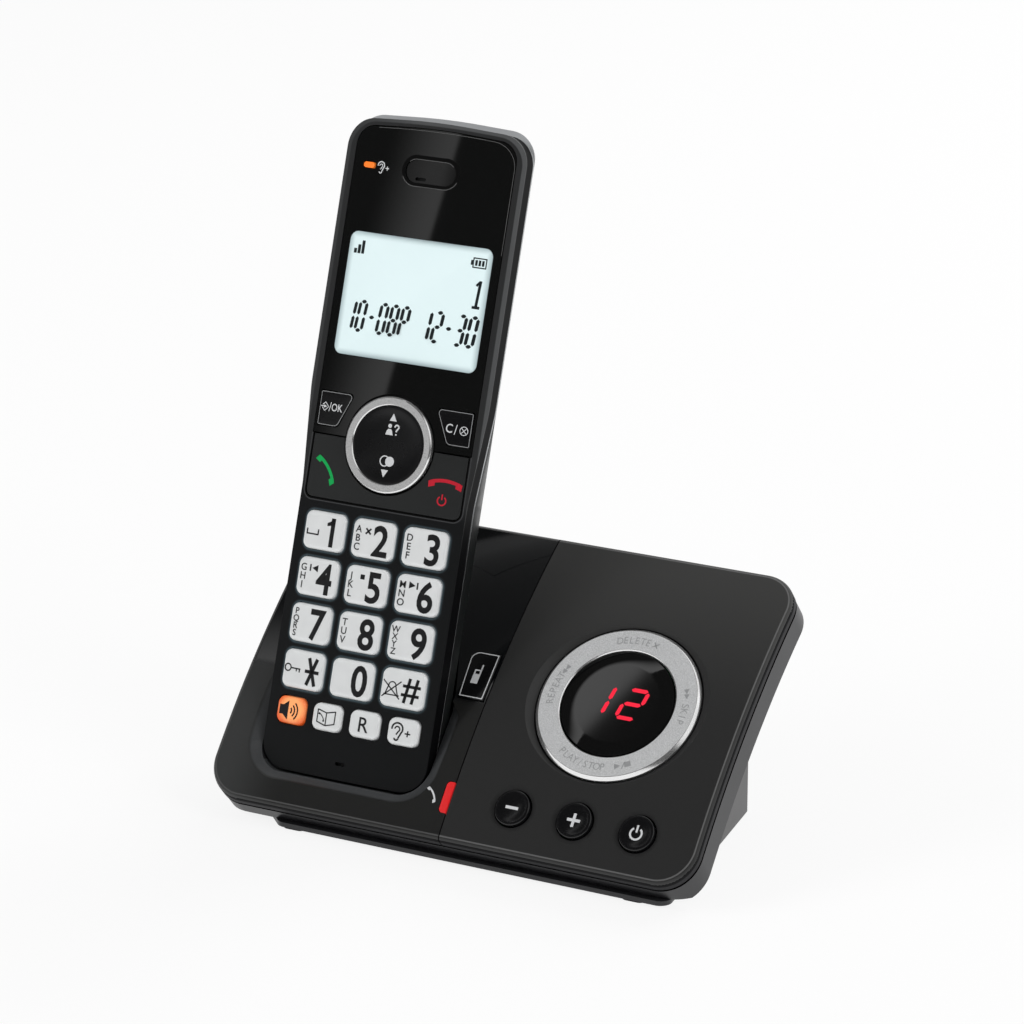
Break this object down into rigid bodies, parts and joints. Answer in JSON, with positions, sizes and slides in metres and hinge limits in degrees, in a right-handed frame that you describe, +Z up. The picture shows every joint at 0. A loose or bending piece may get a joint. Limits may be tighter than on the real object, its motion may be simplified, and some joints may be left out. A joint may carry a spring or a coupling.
{
  "type": "cordless telephone with answering machine",
  "caption": "Cordless telephone: push-button handset standing in a sloping charging base whose right half is the answering machine with a rocker ring and message counter.",
  "frame": {"origin": "on the desk plane, under the seam between the base's two covers, level with the middle of the rocker ring front to back", "axes": "+X to the right of a person in front of the base, +Y to the back, +Z up"},
  "size_m": [0.134, 0.0823, 0.1693],
  "materials": {
    "satin_black": "satin moulded black plastic",
    "gloss_black": "polished black plastic",
    "panel_black": "fine matt black plastic",
    "silver": "satin silver-painted plastic with a bright bevel",
    "key_silver": "pale silver keycaps",
    "key_orange": "translucent orange keycap",
    "display_face": "lit liquid crystal display behind a clear window",
    "red_lamp": "red light pipe",
    "orange_lamp": "orange indicator lens",
    "black_rubber": "matt",
    "grey_silicone": "matt silicone",
    "board_green": "solder mask",
    "dark_part": "moulded electronic part",
    "contact_metal": "plated spring metal",
    "steel": "zinc-plated",
    "cell_wrap": "shrink-wrapped cells"
  },
  "bodies": {
    "base": {"base_lower_housing": "satin_black", "cradle_cover": "satin_black", "answering_panel": "panel_black", "display_window": "gloss_black", "message_display": "red_lamp", "in_use_lamp": "red_lamp", "base_circuit_board": "board_green", "base_tact_switches": "dark_part", "base_loudspeaker": "dark_part", "power_jack": "dark_part", "line_jack": "dark_part", "base_screws": "steel", "rubber_feet": "black_rubber"},
    "handset": {"handset_front_shell": "satin_black", "handset_back_shell": "satin_black", "handset_faceplate": "gloss_black", "earpiece_cap": "gloss_black", "boost_lamp": "orange_lamp", "display_lens": "display_face", "lcd_panel": "dark_part", "keypad_mat": "grey_silicone", "handset_circuit_board": "board_green", "earpiece_receiver": "dark_part", "handset_loudspeaker": "dark_part", "handset_microphone": "dark_part", "battery_cells": "cell_wrap", "handset_charge_contacts": "contact_metal", "handset_screws": "steel"},
    "navigation_key": {"nav_key": "gloss_black", "nav_ring": "silver"},
    "call_key": {"call_key_plate": "satin_black"},
    "battery_door": {"battery_door": "satin_black"},
    "ring_carrier": {"dial_key_carrier": "satin_black"},
    "rocker_ring": {"dial_ring": "silver"},
    "charge_contact_left": {"charge_contact_left": "contact_metal"},
    "charge_contact_right": {"charge_contact_right": "contact_metal"},
    "soft_key_left": {"soft_key_left": "gloss_black"},
    "soft_key_right": {"soft_key_right": "gloss_black"},
    "find_handset_key": {"find_handset_key": "gloss_black"},
    "key_1": {"key_1": "key_silver"},
    "key_2": {"key_2": "key_silver"},
    "key_3": {"key_3": "key_silver"},
    "key_4": {"key_4": "key_silver"},
    "key_5": {"key_5": "key_silver"},
    "key_6": {"key_6": "key_silver"},
    "key_7": {"key_7": "key_silver"},
    "key_8": {"key_8": "key_silver"},
    "key_9": {"key_9": "key_silver"},
    "key_star": {"key_star": "key_silver"},
    "key_0": {"key_0": "key_silver"},
    "key_hash": {"key_hash": "key_silver"},
    "speaker_key": {"speaker_key": "key_orange"},
    "phonebook_key": {"phonebook_key": "key_silver"},
    "flash_key": {"flash_key": "key_silver"},
    "boost_key": {"boost_key": "key_silver"},
    "volume_down_key": {"volume_down_key": "gloss_black"},
    "volume_up_key": {"volume_up_key": "gloss_black"},
    "power_key": {"power_key": "gloss_black"}
  },
  "joints": [
    {"name": "handset_lift", "type": "slide", "parent": "base", "child": "handset", "axis": [0, 0.3272, 0.9449], "range_m": [0, 0.12]},
    {"name": "key_1_press", "type": "slide", "parent": "handset", "child": "key_1", "axis": [0.0813, 0.9418, -0.3261], "range_m": [0, 0.0008], "stiffness_N_per_m": 600},
    {"name": "key_2_press", "type": "slide", "parent": "handset", "child": "key_2", "axis": [0, 0.9449, -0.3272], "range_m": [0, 0.0008], "stiffness_N_per_m": 600},
    {"name": "key_3_press", "type": "slide", "parent": "handset", "child": "key_3", "axis": [-0.0813, 0.9418, -0.3261], "range_m": [0, 0.0008], "stiffness_N_per_m": 600},
    {"name": "key_4_press", "type": "slide", "parent": "handset", "child": "key_4", "axis": [0.0813, 0.9418, -0.3261], "range_m": [0, 0.0008], "stiffness_N_per_m": 600},
    {"name": "key_5_press", "type": "slide", "parent": "handset", "child": "key_5", "axis": [0, 0.9449, -0.3272], "range_m": [0, 0.0008], "stiffness_N_per_m": 600},
    {"name": "key_6_press", "type": "slide", "parent": "handset", "child": "key_6", "axis": [-0.0813, 0.9418, -0.3261], "range_m": [0, 0.0008], "stiffness_N_per_m": 600},
    {"name": "key_7_press", "type": "slide", "parent": "handset", "child": "key_7", "axis": [0.0813, 0.9418, -0.3261], "range_m": [0, 0.0008], "stiffness_N_per_m": 600},
    {"name": "key_8_press", "type": "slide", "parent": "handset", "child": "key_8", "axis": [0, 0.9449, -0.3272], "range_m": [0, 0.0008], "stiffness_N_per_m": 600},
    {"name": "key_9_press", "type": "slide", "parent": "handset", "child": "key_9", "axis": [-0.0813, 0.9418, -0.3261], "range_m": [0, 0.0008], "stiffness_N_per_m": 600},
    {"name": "key_star_press", "type": "slide", "parent": "handset", "child": "key_star", "axis": [0.0813, 0.9418, -0.3261], "range_m": [0, 0.0008], "stiffness_N_per_m": 600},
    {"name": "key_0_press", "type": "slide", "parent": "handset", "child": "key_0", "axis": [0, 0.9449, -0.3272], "range_m": [0, 0.0008], "stiffness_N_per_m": 600},
    {"name": "key_hash_press", "type": "slide", "parent": "handset", "child": "key_hash", "axis": [-0.0813, 0.9418, -0.3261], "range_m": [0, 0.0008], "stiffness_N_per_m": 600},
    {"name": "speaker_key_press", "type": "slide", "parent": "handset", "child": "speaker_key", "axis": [0.0914, 0.941, -0.3258], "range_m": [0, 0.0008], "stiffness_N_per_m": 600},
    {"name": "phonebook_key_press", "type": "slide", "parent": "handset", "child": "phonebook_key", "axis": [0.0305, 0.9445, -0.3271], "range_m": [0, 0.0008], "stiffness_N_per_m": 600},
    {"name": "flash_key_press", "type": "slide", "parent": "handset", "child": "flash_key", "axis": [-0.0305, 0.9445, -0.3271], "range_m": [0, 0.0008], "stiffness_N_per_m": 600},
    {"name": "boost_key_press", "type": "slide", "parent": "handset", "child": "boost_key", "axis": [-0.0914, 0.941, -0.3258], "range_m": [0, 0.0008], "stiffness_N_per_m": 600},
    {"name": "soft_key_left_press", "type": "slide", "parent": "handset", "child": "soft_key_left", "axis": [0, 0.9449, -0.3272], "range_m": [0, 0.0008], "stiffness_N_per_m": 600},
    {"name": "soft_key_right_press", "type": "slide", "parent": "handset", "child": "soft_key_right", "axis": [0, 0.9449, -0.3272], "range_m": [0, 0.0008], "stiffness_N_per_m": 600},
    {"name": "navigation_rock", "type": "hinge", "parent": "handset", "child": "navigation_key", "pos_m": [-0.0324, 0.00525, 0.09356], "axis": [1, 0, 0], "range_deg": [-2, 2], "stiffness_Nm_per_rad": 0.2},
    {"name": "call_key_rock", "type": "hinge", "parent": "handset", "child": "call_key", "pos_m": [-0.0324, 0.00525, 0.09356], "axis": [0, 0.3272, 0.9449], "range_deg": [-1, 1], "stiffness_Nm_per_rad": 0.2},
    {"name": "battery_door_lift", "type": "slide", "parent": "handset", "child": "battery_door", "axis": [0, 0.9449, -0.3272], "range_m": [0, 0.01]},
    {"name": "volume_down_key_press", "type": "slide", "parent": "base", "child": "volume_down_key", "axis": [0, 0.7543, -0.6565], "range_m": [0, 0.0008], "stiffness_N_per_m": 600},
    {"name": "volume_up_key_press", "type": "slide", "parent": "base", "child": "volume_up_key", "axis": [0, 0.7543, -0.6565], "range_m": [0, 0.0008], "stiffness_N_per_m": 600},
    {"name": "power_key_press", "type": "slide", "parent": "base", "child": "power_key", "axis": [0, 0.7543, -0.6565], "range_m": [0, 0.0008], "stiffness_N_per_m": 600},
    {"name": "find_handset_press", "type": "slide", "parent": "base", "child": "find_handset_key", "axis": [0, 0.6613, -0.7501], "range_m": [0, 0.0008], "stiffness_N_per_m": 600},
    {"name": "ring_rock_up_down", "type": "hinge", "parent": "base", "child": "ring_carrier", "pos_m": [0.0335, 0.00026, 0.03899], "axis": [1, 0, 0], "range_deg": [-1, 1], "stiffness_Nm_per_rad": 0.4},
    {"name": "ring_rock_left_right", "type": "hinge", "parent": "ring_carrier", "child": "rocker_ring", "pos_m": [0.0335, 0.00026, 0.03899], "axis": [0, 0.7501, 0.6613], "range_deg": [-1, 1], "stiffness_Nm_per_rad": 0.4},
    {"name": "charge_contact_left_press", "type": "slide", "parent": "base", "child": "charge_contact_left", "axis": [0, 0.3272, 0.9449], "range_m": [-0.0008, 0], "stiffness_N_per_m": 300},
    {"name": "charge_contact_right_press", "type": "slide", "parent": "base", "child": "charge_contact_right", "axis": [0, 0.3272, 0.9449], "range_m": [-0.0008, 0], "stiffness_N_per_m": 300}
  ]
}
